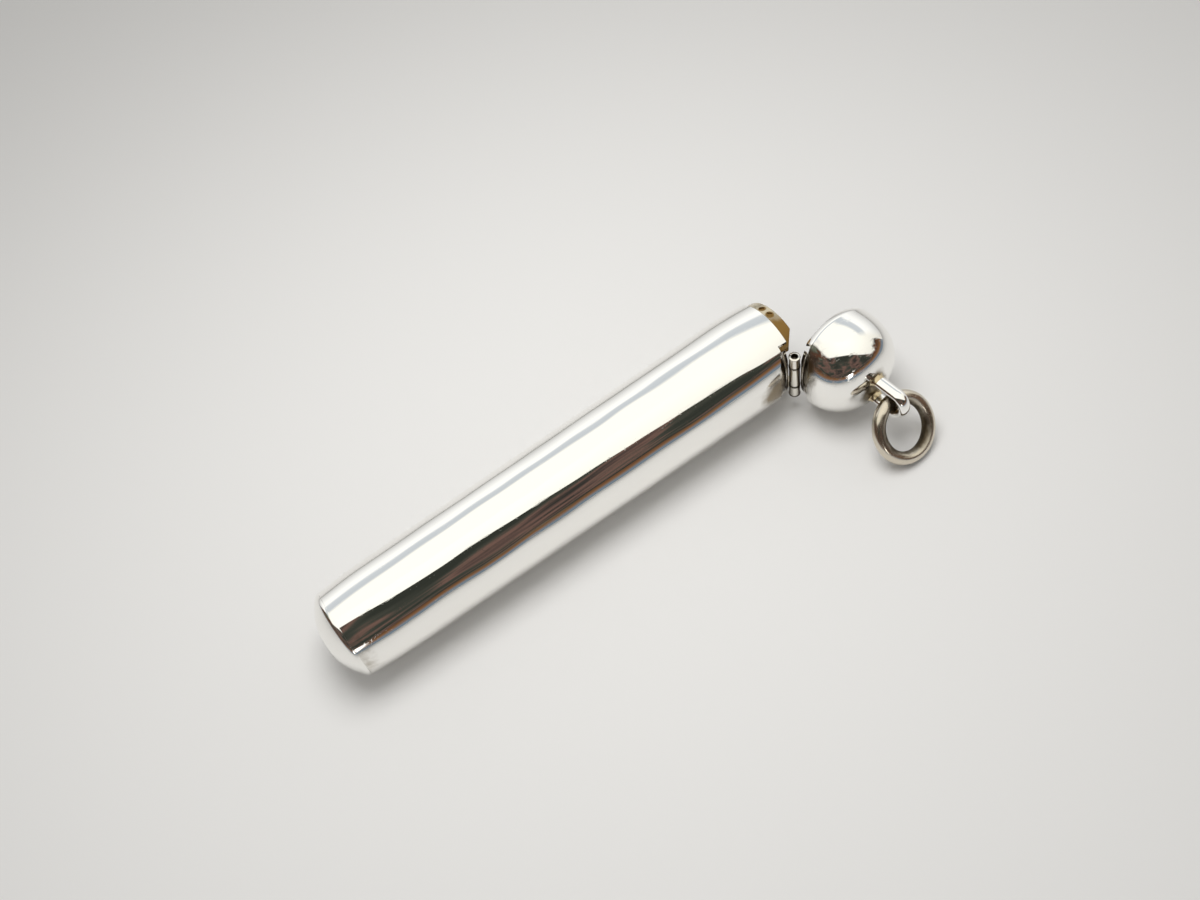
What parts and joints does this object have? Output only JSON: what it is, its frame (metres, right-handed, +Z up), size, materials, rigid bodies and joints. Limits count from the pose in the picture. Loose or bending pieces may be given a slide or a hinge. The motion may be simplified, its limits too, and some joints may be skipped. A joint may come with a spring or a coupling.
{
  "type": "needle case",
  "caption": "Slender round silver needle case lying open, with a domed cap hinged at the mouth, an inner collar, and a loop with a jump ring on the cap.",
  "frame": {"origin": "middle of the footprint, on the surface that the open case lies on", "axes": "+X along the barrel from its closed base to its mouth, +Z up from the surface, the open cap towards -Y"},
  "size_m": [0.074, 0.0274, 0.0128],
  "materials": {
    "polished_silver": "polished silver with fine wear",
    "worn_silver": "worn silver with dull recesses",
    "tarnished_silver": "silver with a golden brown tarnish",
    "dark_silver": "dark oxidised silver, rubbed bright"
  },
  "bodies": {
    "barrel": {"barrel": "polished_silver", "base_end": "polished_silver", "mouth_collar": "tarnished_silver", "barrel_joint_plate": "worn_silver", "barrel_knuckle_top": "worn_silver", "barrel_knuckle_bottom": "worn_silver", "hinge_pin": "worn_silver"},
    "cap": {"cap": "polished_silver", "cap_joint_plate": "worn_silver", "cap_knuckle": "worn_silver", "suspension_loop": "worn_silver"},
    "ring": {"jump_ring": "dark_silver"}
  },
  "joints": [
    {"name": "lid_hinge", "type": "hinge", "parent": "barrel", "child": "cap", "pos_m": [0.02508, 0.00208, 0.00636], "axis": [-0.0103, 0.0155, 0.9998], "range_deg": [-34, 86.5]},
    {"name": "ring_swing", "type": "hinge", "parent": "cap", "child": "ring", "pos_m": [0.03116, -0.00796, 0.00628], "axis": [0.9917, 0.1288, 0], "range_deg": [-85, 68]}
  ]
}
